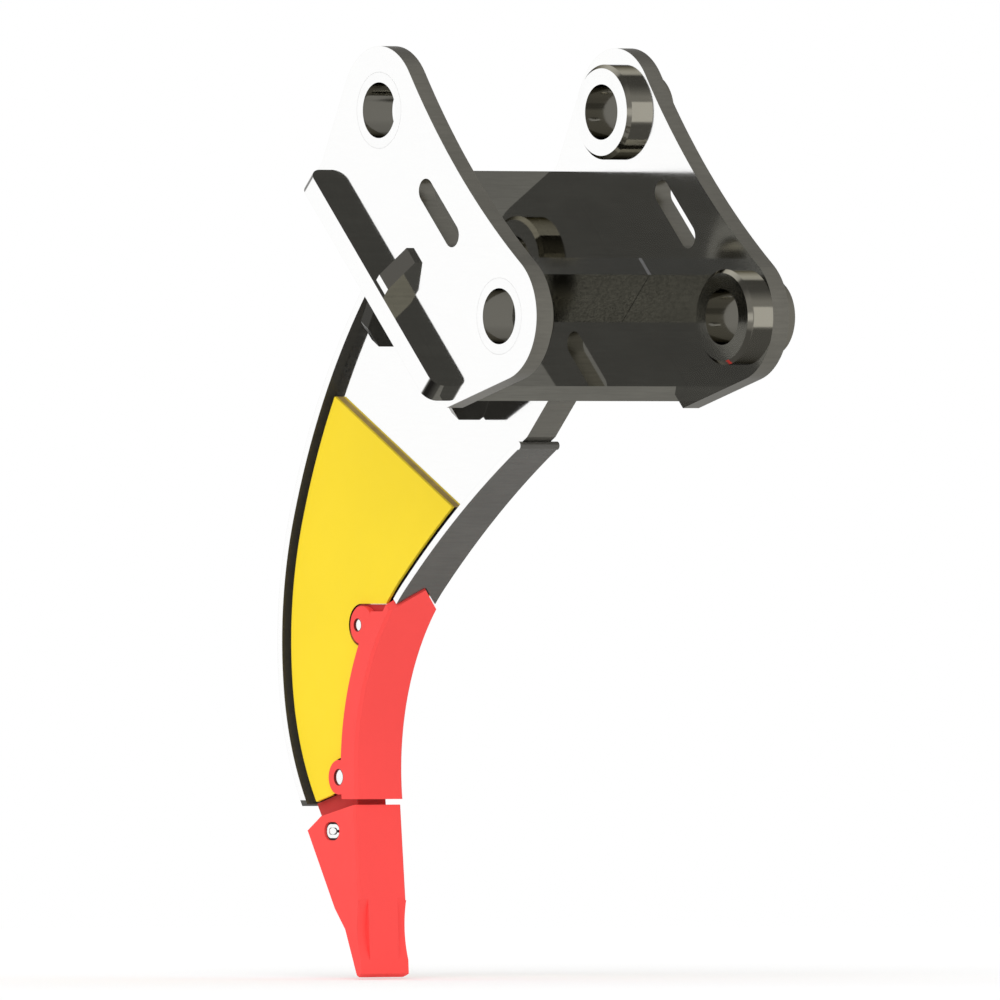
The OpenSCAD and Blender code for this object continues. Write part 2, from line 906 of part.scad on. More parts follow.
ear(-1);  // left_ear
ear(1);  // right_ear
pin_boss(-1, 0, 0);  // left_upper_boss
pin_boss(-1, pin_pitch, 0);  // left_lower_boss
pin_boss(1, 0, lock_l);  // right_upper_boss
pin_boss(1, pin_pitch, lock_l);  // right_lower_boss
base_plate();
cross_bar();
ear_gusset(-1);  // left_ear_gusset
ear_gusset(1);  // right_ear_gusset
under_gusset(-1, front_rib_u, front_rib_l);  // left_front_gusset
under_gusset(-1, rear_rib_u, rear_rib_l);  // left_rear_gusset
under_gusset(1, front_rib_u, front_rib_l);  // right_front_gusset
under_gusset(1, rear_rib_u, rear_rib_l);  // right_rear_gusset
shank_web();
rear_flange();
front_wear_strip();
side_wear_plate(-1);  // left_wear_plate
side_wear_plate(1);  // right_wear_plate
shroud_pad(-1);  // left_shroud_pad
shroud_pad(1);  // right_shroud_pad
shroud();
shroud_pin(upper_pin, upper_pin_d);  // shroud_upper_pin
shroud_pin(lower_pin, lower_pin_d);  // shroud_lower_pin
nose_adapter();
tooth();
tooth_pin();
tooth_pin_lock();
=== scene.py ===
"""Finishes and studio for a single-shank excavator ripper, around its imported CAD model."""

import math

import bpy
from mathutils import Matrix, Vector


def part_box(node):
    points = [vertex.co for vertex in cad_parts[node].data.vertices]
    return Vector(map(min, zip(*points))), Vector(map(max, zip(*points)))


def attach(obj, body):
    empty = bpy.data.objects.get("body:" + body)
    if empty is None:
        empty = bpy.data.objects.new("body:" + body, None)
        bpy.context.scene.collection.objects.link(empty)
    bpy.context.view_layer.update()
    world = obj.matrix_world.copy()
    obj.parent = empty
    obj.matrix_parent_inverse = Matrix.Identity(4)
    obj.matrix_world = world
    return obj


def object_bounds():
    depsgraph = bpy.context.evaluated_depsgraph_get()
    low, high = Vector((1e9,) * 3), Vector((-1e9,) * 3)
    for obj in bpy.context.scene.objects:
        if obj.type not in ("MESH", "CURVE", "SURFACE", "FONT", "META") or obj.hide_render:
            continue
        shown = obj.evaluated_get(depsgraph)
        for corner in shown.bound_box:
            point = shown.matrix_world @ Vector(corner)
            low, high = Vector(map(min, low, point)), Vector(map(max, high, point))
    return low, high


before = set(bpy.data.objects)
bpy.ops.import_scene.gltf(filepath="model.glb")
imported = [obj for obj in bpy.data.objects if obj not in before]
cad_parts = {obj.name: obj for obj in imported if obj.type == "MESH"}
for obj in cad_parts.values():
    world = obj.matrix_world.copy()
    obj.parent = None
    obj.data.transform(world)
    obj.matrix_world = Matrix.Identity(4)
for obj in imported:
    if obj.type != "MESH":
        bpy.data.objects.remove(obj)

bl_info = {
    "name": "Excavator ripper finish",
    "version": (1, 0, 0),
    "blender": (4, 5, 0),
    "location": "View3D > Sidebar > Ripper",
    "description": "Plate, paint and pin finishes for a ripper attachment, with its studio",
    "category": "Object",
}

CAD_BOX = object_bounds()

EARS = ("left_ear", "right_ear")
BOSSES = ("left_upper_boss", "left_lower_boss", "right_upper_boss", "right_lower_boss")
PLATE_GUSSETS = ("left_ear_gusset", "right_ear_gusset")
SHANK_GUSSETS = (
    "left_front_gusset", "left_rear_gusset", "right_front_gusset", "right_rear_gusset",
)
WEAR_PLATES = ("left_wear_plate", "right_wear_plate")
SHROUD_PADS = ("left_shroud_pad", "right_shroud_pad")
SHROUD_PINS = ("shroud_upper_pin", "shroud_lower_pin")


def middle(name):
    """Middle of a CAD piece"""
    low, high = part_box(name)
    return (low + high) / 2


# The machine's two pins lie along Y through the bosses, whose bores end at this radius
PIN_AXES = (middle("left_upper_boss"), middle("left_lower_boss"))
BORE_EDGE = 0.0415
# Distances from a shroud pin between which the wear plates' notches for the lugs end; the paint
# lap stops there, so the notch edges keep their painted shade
LUG_NOTCH = (0.034, 0.037)

# The part of a face's direction along Y or Z at which a mask begins, and at which it is full
SQUARE_ON = (0.96, 0.99)
END_ON = (0.9, 0.97)
SIDEWAYS = (0.5, 0.8)
UPWARDS = (0.3, 0.5)
UPPER_EDGE = (0.2, 0.5)
# The same for X and Z added, where a boss's side looks down at the base plate
TOWARDS_PLATE = (-0.9, -1.2)
# How well a face agrees with its rounded neighbourhood, from an open face to a sharp edge
SHARP_EDGE = (0.995, 0.86)

# Values of a noise between which a tone or a gloss changes
NOISE_BAND = (0.3, 0.7)
NARROW_BAND = (0.35, 0.65)
SMUT_BAND = (0.3, 0.75)
STREAK_BAND = (0.1, 0.4)
PIT_BAND = (0.62, 0.38)
SCUFF_BAND = (0.42, 0.6)

# Scale of a noise along X, Y and Z, which draws its marks out along one of them
GROUND_MARKS = (0.12, 1.0, 1.0)
CUT_LINES = (1.0, 0.08, 1.0)
TURNED_RINGS = (1.0, 0.15, 1.0)
PAINT_SCUFFS = (1.0, 1.0, 0.35)

# How much of the bare tone shows along worn edges of plates and paint
PLATE_WEAR = 0.08
PAINT_WEAR = 0.3
# Strength of the grain on ground faces, and on other faces as a share of their roughness
GROUND_RELIEF = 0.008
EDGE_RELIEF = 0.4

# Widths over which one tone gives way to the next
BURN_FADE = 0.001
BORE_FADE = 0.001
LAP_FADE = 0.0005
RING_FADE = 0.0004
JOINT_FADE = 0.0002


def colour(name, description, default):
    return bpy.props.FloatVectorProperty(
        name=name, description=description, default=default,
        size=3, min=0.0, max=1.0, subtype="COLOR",
    )


def share(name, description, default):
    return bpy.props.FloatProperty(
        name=name, description=description, default=default,
        min=0.0, max=1.0, subtype="FACTOR",
    )


def length(name, description, default):
    return bpy.props.FloatProperty(
        name=name, description=description, default=default, min=0.0, unit="LENGTH",
    )


class RipperFinish(bpy.types.PropertyGroup):
    """Colours and grain of the ripper's steel and paint"""

    ground: colour("Ground faces", "Broad faces of the bright plates", (0.99, 0.99, 0.985))
    cut_edge: colour("Cut edges", "Flame-cut edges of the ears", (0.375, 0.36, 0.31))
    web_edge: colour("Web edges", "Dull cut edges of the web", (0.215, 0.207, 0.178))
    rolled: colour("Rolled plate", "Dark upper face of the base plate", (0.36, 0.35, 0.305))
    # The slopes' tone is a painted shade
    slope_shade: colour(
        "Gusset slopes", "Sloping edges of the gussets outside the ears", (0.088, 0.084, 0.074),
    )
    gusset: colour("Gussets", "Dark faces of the gussets on the web", (0.14, 0.134, 0.117))
    flange_face: colour("Flange faces", "Dark faces of the rear flange", (0.046, 0.043, 0.034))
    bar: colour("Cross bar", "Speckled faces of the cross bar", (0.19, 0.187, 0.168))
    strip: colour("Wear strip", "Front wear strip", (0.186, 0.18, 0.164))
    collar: colour("Collars", "Turned sides of the pin bosses", (0.39, 0.37, 0.31))
    bore: colour("Bores", "Inside of the pin bosses", (0.38, 0.365, 0.315))
    yellow: colour("Yellow paint", "Side wear plates", (1.0, 0.745, 0.03))
    # The upper cut edge's tone is a painted half shade, and the tone the yellow wears down to; the
    # other cut edges' tone is a painted deep shade, also used for sooty patches
    upper_edge_shade_and_bare: colour("Scorched edge", "Upper cut edge of the yellow plates", (0.53, 0.36, 0.1))
    edge_shade_and_soot: colour("Sooty edge", "Other cut edges of the yellow plates", (0.012, 0.011, 0.009))
    red: colour("Red paint", "Shroud and tooth", (1.0, 0.085, 0.078))
    # The red with painted shade, for the adapter and the pads behind the shroud; the shroud and
    # the tooth also wear down to it along their edges
    shaded_and_worn_red: colour("Dull red paint", "Adapter and pads, behind the shroud", (0.58, 0.047, 0.043))
    pin: colour("Pins", "Turned ends of the pins", (0.97, 0.97, 0.96))
    rubber: colour("Rubber", "Sleeve of the tooth pin", (0.02, 0.02, 0.02))
    grazing: share("Grazing light", "Light the bosses' sides throw back at a low angle", 0.15)
    mirror: share("Mirror", "Roughness of the ground faces", 0.06)
    grain: length("Grain", "Spacing of the grinding marks", 0.004)
    peel: length("Paint texture", "Size of the dimples in the paint", 0.0025)
    wear: length("Edge wear", "Width of the worn band along edges", 0.0025)
    lap: length("Paint lap", "How far the yellow paint laps over the cut edges", 0.004)
    # The ring round each shroud pin is a painted shadow
    ring: length("Pin rings", "Width of the bare ring round each shroud pin", 0.0014)
    pin_wall: length("Spring pin wall", "Wall of the tooth's spring pin", 0.0052)
    slit: length("Spring pin slit", "Room beside the core of the tooth's spring pin", 0.0012)
    joint: length("Bar joints", "Width of the dark joint at each end of the cross bar", 0.001)
    bar_mark: length("Bar marks", "Width of the ground mark on each end of the cross bar", 0.003)
    burnt: length("Burnt end", "Length of the rear flange's burnt lower end", 0.008)


class RipperStage(bpy.types.PropertyGroup):
    """Camera, floor and light"""

    azimuth: bpy.props.FloatProperty(
        name="Azimuth",
        description="Side from which the camera looks, from the left ear round to the front",
        default=math.radians(54.5), subtype="ANGLE", unit="ROTATION",
    )
    frame_width: length("Picture width", "Width of the picture at the ripper", 1.436)
    lens: bpy.props.FloatProperty(
        name="Lens", description="Focal length in millimetres, long so that lines stay parallel",
        default=1200.0, min=50.0, max=1700.0,
    )
    aim_right: bpy.props.FloatProperty(
        name="Aim right", description="Middle of the picture, to the right of the upper pin",
        default=-0.0073, unit="LENGTH",
    )
    aim_up: bpy.props.FloatProperty(
        name="Aim up", description="Middle of the picture, above the upper pin",
        default=-0.5582, unit="LENGTH",
    )
    floor_gap: length("Floor gap", "Room between the tip and the floor", 0.003)
    floor_radius: length("Floor radius", "Radius of the pale floor", 6.0)
    floor_tone: share("Floor tone", "Paleness of the floor", 1.0)
    sky: share("Sky", "Even light from all round", 0.87)
    sun: bpy.props.FloatProperty(
        name="Key light", description="Strength of the soft key light",
        default=0.75, min=0.0, max=5.0,
    )
    sun_spread: bpy.props.FloatProperty(
        name="Key spread", description="Angle across the soft key light",
        default=math.radians(40.0), subtype="ANGLE", unit="ROTATION",
    )


def grey(level):
    return (level,) * 3


def rgba(tone, factor=1.0):
    return (*[min(1.0, part * factor) for part in tone], 1.0)


class Wiring:
    """Nodes of one material or world, added and joined by name"""

    def __init__(self, tree):
        self.tree = tree
        self.tree.nodes.clear()

    def feed(self, node, links):
        """Joins outputs to a node's inputs, or sets plain values on them"""
        for socket, value in links.items():
            if isinstance(value, bpy.types.NodeSocket):
                self.tree.links.new(value, node.inputs[socket])
            else:
                node.inputs[socket].default_value = value

    def add(self, kind, links=None, **settings):
        node = self.tree.nodes.new("ShaderNode" + kind)
        for key, value in settings.items():
            setattr(node, key, value)
        self.feed(node, links or {})
        return node

    def math(self, operation, a, b=0.0):
        return self.add("Math", {0: a, 1: b}, operation=operation).outputs[0]

    def vector(self, operation, a, b):
        return self.add("VectorMath", {0: a, 1: b}, operation=operation).outputs["Vector"]

    def dot(self, a, b):
        node = self.add("VectorMath", {0: a, 1: b}, operation="DOT_PRODUCT")
        return node.outputs["Value"]

    def parts(self, vector):
        """X, Y and Z of a vector"""
        return self.add("SeparateXYZ", {0: vector}).outputs

    def ramp(self, value, low, high, at_low=0.0, at_high=1.0):
        """A number that changes while the value goes from low to high"""
        return self.add("MapRange", {
            "Value": value, "From Min": low, "From Max": high,
            "To Min": at_low, "To Max": at_high,
        }).outputs["Result"]

    def choose(self, factor, a, b):
        """The number a, or b where the factor is 1"""
        return self.ramp(factor, 0.0, 1.0, a, b)

    def blend(self, factor, a, b):
        """The colour a, or b where the factor is 1"""
        mix = self.add("Mix", data_type="RGBA")
        place = {socket.identifier: index for index, socket in enumerate(mix.inputs)}
        self.feed(mix, {
            place["Factor_Float"]: factor, place["A_Color"]: a, place["B_Color"]: b,
        })
        return next(socket for socket in mix.outputs if socket.identifier == "Result_Color")

    def mottle(self, noise, tone, low, high, band=NOISE_BAND):
        """A tone times low to high, as the noise goes"""
        return self.blend(self.ramp(noise, *band), rgba(tone, low), rgba(tone, high))

    def noise(self, spot, size, stretch=(1.0, 1.0, 1.0), detail=3.0, rough=0.55):
        at = self.add("Mapping", {"Vector": spot, "Scale": [part / size for part in stretch]})
        return self.add("TexNoise", {
            "Vector": at.outputs[0], "Scale": 1.0, "Detail": detail, "Roughness": rough,
        }).outputs["Fac"]

    def from_axis(self, spot, axis):
        """Distance from a line along Y"""
        away = self.vector("SUBTRACT", spot, axis)
        across = self.vector("MULTIPLY", away, (1.0, 0.0, 1.0))
        return self.add("VectorMath", {0: across}, operation="LENGTH").outputs["Value"]

    def worn_and_shaded_edges(self, width):
        """1 along edges, 0 on open faces"""
        rounded = self.add("Bevel", {"Radius": width}, samples=6).outputs[0]
        flat = self.add("NewGeometry").outputs["Normal"]
        return self.ramp(self.dot(rounded, flat), *SHARP_EDGE)

    def bump(self, height, distance, strength):
        sockets = {"Height": height, "Distance": distance, "Strength": strength}
        return self.add("Bump", sockets).outputs[0]


def new_material(name, tone, metal, roughness, specular=0.5):
    """A surface with its even numbers set, ready for what varies"""
    made = bpy.data.materials.new(name)
    made.use_nodes = True
    made.diffuse_color = rgba(tone)
    made.metallic = metal
    made.roughness = roughness
    w = Wiring(made.node_tree)
    surface = w.add("BsdfPrincipled", {
        "Base Color": rgba(tone), "Metallic": metal, "Roughness": roughness,
        "Specular IOR Level": specular,
    })
    w.add("OutputMaterial", {"Surface": surface.outputs[0]})
    where = w.add("TexCoord").outputs
    return made, w, surface, where


def plate_steel(
    name, finish, edge, edge_roughness=0.3, edge_metal=1.0, slope_shade=None, burnt_below=None,
):
    """Bright ground faces where a plate looks squarely sideways, and darker faces elsewhere;
    slanted gives its slopes a painted shade, and below burnt_below its ground faces are dark too"""
    made, w, surface, where = new_material(
        name, finish.ground, metal=1.0, roughness=finish.mirror)
    spot = where["Object"]
    facing = w.math("ABSOLUTE", w.parts(where["Normal"])["Y"])
    broad = w.ramp(facing, *SQUARE_ON)
    if burnt_below is not None:
        clean = w.ramp(w.parts(spot)["Z"], burnt_below, burnt_below + BURN_FADE)
        broad = w.math("MULTIPLY", broad, clean)
    marks = w.noise(spot, finish.grain, GROUND_MARKS, detail=4.0)
    cloud = w.noise(spot, size=0.09, detail=4.0)
    lines = w.noise(spot, finish.grain, CUT_LINES, detail=3.0)
    bright = w.mottle(marks, finish.ground, low=0.99, high=1.0)
    streaks = w.math("MULTIPLY", lines, cloud)
    dark = w.mottle(streaks, edge, low=0.9, high=1.1, band=STREAK_BAND)
    # Painted shade on slopes, the faces turned partly sideways
    if slope_shade is not None:
        dark = w.blend(w.ramp(facing, *SIDEWAYS), dark, rgba(slope_shade))
    mixed = w.blend(broad, dark, bright)
    worn = w.math("MULTIPLY", w.worn_and_shaded_edges(finish.wear), broad)
    mixed = w.blend(w.math("MULTIPLY", worn, PLATE_WEAR), mixed, rgba(edge))
    gloss = w.choose(broad, edge_roughness, finish.mirror)
    dulled = w.ramp(cloud, *NARROW_BAND, at_high=0.02)
    relief = w.choose(broad, EDGE_RELIEF * edge_roughness, GROUND_RELIEF)
    w.feed(surface, {
        "Base Color": mixed,
        "Roughness": w.math("ADD", gloss, dulled),
        "Normal": w.bump(lines, distance=0.0003, strength=relief),
    })
    if edge_metal < 1.0:
        w.feed(surface, {"Metallic": w.choose(broad, edge_metal, 1.0)})
    return made


def dark_steel(
    name, finish, tone, roughness, grit, speckle, relief,
    sideways=1.0, above=None, worn=0.0, ends=None,
):
    """Rolled steel with a mottled skin, with a painted shade on faces that look sideways and a
    painted light on faces that look up, as shares of its tone;
    ends is how far out its ends lie, ground bright on top and dark where they join"""
    made, w, surface, where = new_material(name, tone, metal=1.0, roughness=roughness)
    spot = where["Object"]
    cloud = w.noise(spot, size=0.06, detail=5.0)
    pits = w.noise(spot, size=grit, detail=2.0)
    mixed = w.mottle(cloud, tone, low=0.85, high=1.15)
    mixed = w.blend(w.ramp(pits, *PIT_BAND, at_high=speckle), mixed, rgba(tone, factor=0.4))
    if worn > 0.0:
        rubbed = w.math("MULTIPLY", w.worn_and_shaded_edges(finish.wear), worn)
        mixed = w.blend(rubbed, mixed, rgba(tone, factor=2.4))
    facing = w.parts(where["Normal"])
    # Painted shade: faces that look sideways take a share of the tone
    aside = w.ramp(w.math("ABSOLUTE", facing["Y"]), *SIDEWAYS)
    mixed = w.blend(aside, mixed, rgba(tone, sideways))
    up = w.ramp(facing["Z"], *UPWARDS)
    # Painted light: faces that look up take a brighter share of the tone
    if above is not None:
        mixed = w.blend(up, mixed, rgba(tone, above))
    if ends is not None:
        out = w.math("ABSOLUTE", w.parts(spot)["Y"])
        joint, mark = [
            w.ramp(out, ends - width, ends - width + JOINT_FADE)
            for width in (finish.joint, finish.bar_mark)
        ]
        mixed = w.blend(joint, mixed, rgba(tone, factor=0.3))
        mixed = w.blend(w.math("MULTIPLY", mark, up), mixed, rgba(finish.ground))
    w.feed(surface, {
        "Base Color": mixed,
        "Roughness": w.ramp(
            cloud, *NOISE_BAND, at_low=0.8 * roughness, at_high=1.25 * roughness),
        "Normal": w.bump(pits, distance=0.0003, strength=relief),
    })
    return made


def turned_steel(name, finish, tone, roughness, side=None, bore=None, rim=0.0):
    """Turned steel with fine rings on its ends; side and bore are the tones of a boss's round
    faces, and rim is the strength of a painted shade along a pin's edge"""
    made, w, surface, where = new_material(name, tone, metal=1.0, roughness=roughness)
    spot = where["Object"]
    rings = w.noise(spot, finish.grain, TURNED_RINGS, detail=3.0)
    smut = w.noise(spot, size=0.03, detail=4.0)
    mixed = w.mottle(smut, tone, low=1.0, high=0.97, band=SMUT_BAND)
    if side is not None:
        facing = w.parts(where["Normal"])
        flat = w.ramp(w.math("ABSOLUTE", facing["Y"]), *END_ON)
        shaded = w.ramp(w.math("ADD", facing["X"], facing["Z"]), *TOWARDS_PLATE)
        outside = w.blend(shaded, rgba(side), rgba(side, factor=0.6))
        reach = w.math("MINIMUM", *[w.from_axis(spot, axis) for axis in PIN_AXES])
        past_bore = w.ramp(reach, BORE_EDGE - BORE_FADE, BORE_EDGE)
        round_side = w.blend(past_bore, rgba(bore), outside)
        round_side = w.blend(w.ramp(smut, *NOISE_BAND, at_high=0.25), round_side, rgba(bore))
        mixed = w.blend(flat, round_side, mixed)
        grazing = w.blend(flat, rgba(grey(finish.grazing)), rgba(grey(1.0)))
        w.feed(surface, {"Specular Tint": grazing})
    # Painted shade along the edges of a pin's end, as dark as rim says
    if rim > 0.0:
        edge = w.math("MULTIPLY", w.worn_and_shaded_edges(finish.wear), rim)
        mixed = w.blend(edge, mixed, rgba(tone, factor=0.3))
    w.feed(surface, {
        "Base Color": mixed,
        "Roughness": w.ramp(
            rings, *NOISE_BAND, at_low=0.8 * roughness, at_high=1.3 * roughness),
        "Normal": w.bump(rings, distance=0.0002, strength=0.04),
    })
    return made


def cut_edges(w, where, finish, scuff):
    """Tone of a wear plate's unpainted cut edges, in painted half shade above and painted deep
    shade elsewhere with sooty patches, and a mask of where the paint covers the plate: its faces,
    and a lap over the edges clear of the lugs"""
    spot = where["Object"]
    facing = w.parts(where["Normal"])
    # Painted shade on the cut edges: a half shade on the upper edge, a deep shade on the others
    cut = w.blend(w.ramp(facing["Z"], *UPPER_EDGE), rgba(finish.edge_shade_and_soot), rgba(finish.upper_edge_shade_and_bare))
    cut = w.blend(w.ramp(scuff, *NARROW_BAND, at_high=0.3), cut, rgba(finish.edge_shade_and_soot))
    out = w.math("ABSOLUTE", w.parts(spot)["Y"])
    lap = -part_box("left_wear_plate")[0].y - finish.lap
    # Clear of the lugs the paint laps over the edges; by the lugs the edges keep their painted
    # shade
    clear = w.math("MINIMUM", *[w.from_axis(spot, middle(pin)) for pin in SHROUD_PINS])
    lapped = w.math("MULTIPLY", w.ramp(out, lap - LAP_FADE, lap), w.ramp(clear, *LUG_NOTCH))
    face = w.ramp(w.math("ABSOLUTE", facing["Y"]), *END_ON)
    return cut, w.math("MAXIMUM", face, lapped)


def paint(name, finish, tone, bare_and_shadow, bare_edges=False, pins=()):
    """Satin paint with a fine texture, worn along edges, with a painted shadow ring round pins;
    bare_edges leaves the cut edges of a wear plate unpainted, in painted shade"""
    made, w, surface, where = new_material(name, tone, metal=0.0, roughness=0.5, specular=0.1)
    spot = where["Object"]
    cloud = w.noise(spot, size=0.12, detail=4.0)
    peel = w.noise(spot, finish.peel, detail=1.5)
    scuff = w.noise(spot, size=0.012, stretch=PAINT_SCUFFS, detail=5.0, rough=0.7)
    mixed = w.mottle(cloud, tone, low=0.97, high=1.0)
    worn = w.math("MULTIPLY", w.worn_and_shaded_edges(finish.wear), w.ramp(scuff, *SCUFF_BAND))
    mixed = w.blend(w.math("MULTIPLY", worn, PAINT_WEAR), mixed, rgba(bare_and_shadow))
    if bare_edges:
        cut, covered = cut_edges(w, where, finish, scuff)
        mixed = w.blend(covered, cut, mixed)
    # Painted shadow: a dark ring of the paint's worn-edge tone round each shroud pin
    for pin in pins:
        low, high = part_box(pin)
        reach = (high.x - low.x) / 2 + finish.ring
        near = w.ramp(w.from_axis(spot, middle(pin)), reach, reach - RING_FADE)
        mixed = w.blend(near, mixed, rgba(bare_and_shadow, factor=0.35))
    w.feed(surface, {
        "Base Color": mixed,
        "Roughness": w.ramp(scuff, *NOISE_BAND, at_low=0.44, at_high=0.58),
        "Normal": w.bump(peel, distance=0.0002, strength=0.1),
    })
    return made


def soft_rubber(name, finish):
    made, w, surface, where = new_material(
        name, finish.rubber, metal=0.0, roughness=0.7, specular=0.3)
    grit = w.noise(where["Object"], size=0.0015, detail=2.0)
    w.feed(surface, {
        "Base Color": w.mottle(grit, finish.rubber, low=0.7, high=1.6),
        "Normal": w.bump(grit, distance=0.0003, strength=0.3),
    })
    return made


def dress(names, made):
    """Puts a finish on CAD pieces"""
    for name in names:
        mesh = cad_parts[name].data
        mesh.materials.clear()
        mesh.materials.append(made)


class RIPPER_OT_ears(bpy.types.Operator):
    """Grind the ears' faces bright and leave their edges flame-cut"""

    bl_idname = "ripper.ears"
    bl_label = "Ears"

    def execute(self, context):
        finish = context.scene.ripper_finish
        dress(EARS, plate_steel("ear_plate", finish, finish.cut_edge))
        return {"FINISHED"}


class RIPPER_OT_bosses(bpy.types.Operator):
    """Turn the pin bosses bright"""

    bl_idname = "ripper.bosses"
    bl_label = "Pin bosses"

    def execute(self, context):
        finish = context.scene.ripper_finish
        dress(BOSSES, turned_steel(
            "boss_steel", finish, finish.ground, roughness=0.09,
            side=finish.collar, bore=finish.bore,
        ))
        return {"FINISHED"}


class RIPPER_OT_base(bpy.types.Operator):
    """Give the base plate, the cross bar and the gussets their dark skin"""

    bl_idname = "ripper.base"
    bl_label = "Base plate and gussets"

    def execute(self, context):
        finish = context.scene.ripper_finish
        dress(("base_plate",), plate_steel(
            "base_plate_steel", finish, finish.rolled, edge_roughness=0.02,
            slope_shade=finish.slope_shade,
        ))
        dress(("cross_bar",), dark_steel(
            "bar_steel", finish, finish.bar, roughness=0.14,
            grit=finish.grain, speckle=0.7, relief=0.11,
            above=1.8, ends=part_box("cross_bar")[1].y,
        ))
        dress(PLATE_GUSSETS, plate_steel(
            "ear_gusset_steel", finish, finish.rolled, edge_roughness=0.05,
            slope_shade=finish.slope_shade,
        ))
        dress(SHANK_GUSSETS, dark_steel(
            "shank_gusset_steel", finish, finish.gusset, roughness=0.22,
            grit=finish.grain / 2, speckle=0.2, relief=0.06, sideways=0.3, worn=0.5,
        ))
        return {"FINISHED"}


class RIPPER_OT_shank(bpy.types.Operator):
    """Finish the web, the rear flange and the front wear strip"""

    bl_idname = "ripper.shank"
    bl_label = "Shank"

    def execute(self, context):
        finish = context.scene.ripper_finish
        dress(("shank_web",), plate_steel(
            "web_plate", finish, finish.web_edge, edge_metal=0.6,
        ))
        dress(("rear_flange",), plate_steel(
            "flange_plate", finish, finish.flange_face, edge_roughness=0.4, edge_metal=0.0,
            burnt_below=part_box("rear_flange")[0].z + finish.burnt,
        ))
        dress(("front_wear_strip",), plate_steel(
            "strip_steel", finish, finish.strip, edge_roughness=0.25, edge_metal=0.6,
        ))
        return {"FINISHED"}


class RIPPER_OT_wear_plates(bpy.types.Operator):
    """Paint the side wear plates yellow, with painted shade on their cut edges"""

    bl_idname = "ripper.wear_plates"
    bl_label = "Side wear plates"

    def execute(self, context):
        finish = context.scene.ripper_finish
        dress(WEAR_PLATES, paint(
            "yellow_paint", finish, finish.yellow, finish.upper_edge_shade_and_bare, bare_edges=True,
        ))
        return {"FINISHED"}


class RIPPER_OT_shroud(bpy.types.Operator):
    """Paint the shroud and its pads red"""

    bl_idname = "ripper.shroud"
    bl_label = "Shroud"

    def execute(self, context):
        finish = context.scene.ripper_finish
        dress(("shroud",), paint(
            "shroud_paint", finish, finish.red, finish.shaded_and_worn_red, pins=SHROUD_PINS,
        ))
        # The pads take the red with painted shade
        dress(SHROUD_PADS, paint("pad_paint", finish, finish.shaded_and_worn_red, finish.cut_edge))
        return {"FINISHED"}


class RIPPER_OT_tooth(bpy.types.Operator):
    """Paint the adapter and the tooth red"""

    bl_idname = "ripper.tooth"
    bl_label = "Adapter and tooth"

    def execute(self, context):
        finish = context.scene.ripper_finish
        # The adapter takes the red with painted shade
        dress(("nose_adapter",), paint(
            "adapter_paint", finish, finish.shaded_and_worn_red, finish.cut_edge,
        ))
        dress(("tooth",), paint("tooth_paint", finish, finish.red, finish.shaded_and_worn_red))
        return {"FINISHED"}


def pin_core(finish, made):
    """Fills the spring pin, so that only its slit shows"""
    low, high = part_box("tooth_pin")
    half = (high - low) / 2
    recess = finish.slit / 10
    rounding = finish.slit / 4
    bpy.ops.object.select_all(action="DESELECT")
    place = middle("tooth_pin") - Vector((finish.slit, 0.0, 0.0))
    bpy.ops.mesh.primitive_cylinder_add(vertices=48, radius=1.0, depth=2.0, location=place)
    core = bpy.context.object
    core.name = "tooth_pin_core"
    core.rotation_euler = (math.radians(90.0), 0.0, 0.0)
    core.scale = (
        half.x - finish.pin_wall - finish.slit, half.z - finish.pin_wall, half.y - recess,
    )
    bpy.ops.object.transform_apply(location=True, rotation=True, scale=True)
    for face in core.data.polygons:
        face.select = abs(face.normal.y) > END_ON[0]
    bpy.ops.object.mode_set(mode="EDIT")
    bpy.ops.mesh.select_mode(type="FACE")
    bpy.ops.mesh.bevel(offset=rounding, segments=2, affect="EDGES")
    bpy.ops.mesh.normals_make_consistent(inside=False)
    bpy.ops.object.mode_set(mode="OBJECT")
    bpy.ops.object.shade_smooth_by_angle(angle=math.radians(30.0))
    core.data.materials.append(made)
    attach(core, "root")


class RIPPER_OT_pins(bpy.types.Operator):
    """Finish the shroud pins, and the tooth pin in its rubber sleeve"""

    bl_idname = "ripper.pins"
    bl_label = "Pins"

    def execute(self, context):
        finish = context.scene.ripper_finish
        dress(SHROUD_PINS, turned_steel(
            "shroud_pin_steel", finish, finish.pin, roughness=0.14, rim=0.55,
        ))
        pin = turned_steel("pin_steel", finish, finish.pin, roughness=0.14)
        dress(("tooth_pin",), pin)
        pin_core(finish, pin)
        dress(("tooth_pin_lock",), soft_rubber("sleeve_rubber", finish))
        return {"FINISHED"}


# The hall that bare steel mirrors: the directions of its bright left wall and its window, the
# parts of a direction between which each region begins, and the tones
LEFT_WALL = (-0.814, -0.581, 0.0)
WINDOW = (0.814, -0.581, 0.0)
WALL_BAND = (0.33, 0.62)
WINDOW_BAND = (0.93, 0.945)
PIT = {"Z": (-0.3, -0.42)}
LID = {"Z": (0.5, 0.75), "X": (-0.22, -0.12)}
FAR_CORNER = {"X": (-0.12, -0.25), "Y": (0.3, 0.5), "Z": (0.2, 0.45)}
PIT_SPREAD = (-0.1, 0.1)
LID_SPREAD = (-0.3, 0.3)
WALL_TONE = 1.0
DIM_TONE = 0.36
WINDOW_TONE = 0.9
PIT_TONES = (0.14, 0.36)
LID_TONES = (0.11, 0.3)
CORNER_TONE = 0.18
# The way that the key light shines, over the camera's left shoulder
KEY_DIRECTION = (-0.55, 0.5, -0.67)


def region(w, parts, bands):
    """1 in the directions that lie past every band, 0 elsewhere"""
    inside = 1.0
    for axis, band in bands.items():
        inside = w.math("MULTIPLY", inside, w.ramp(parts[axis], *band))
    return inside


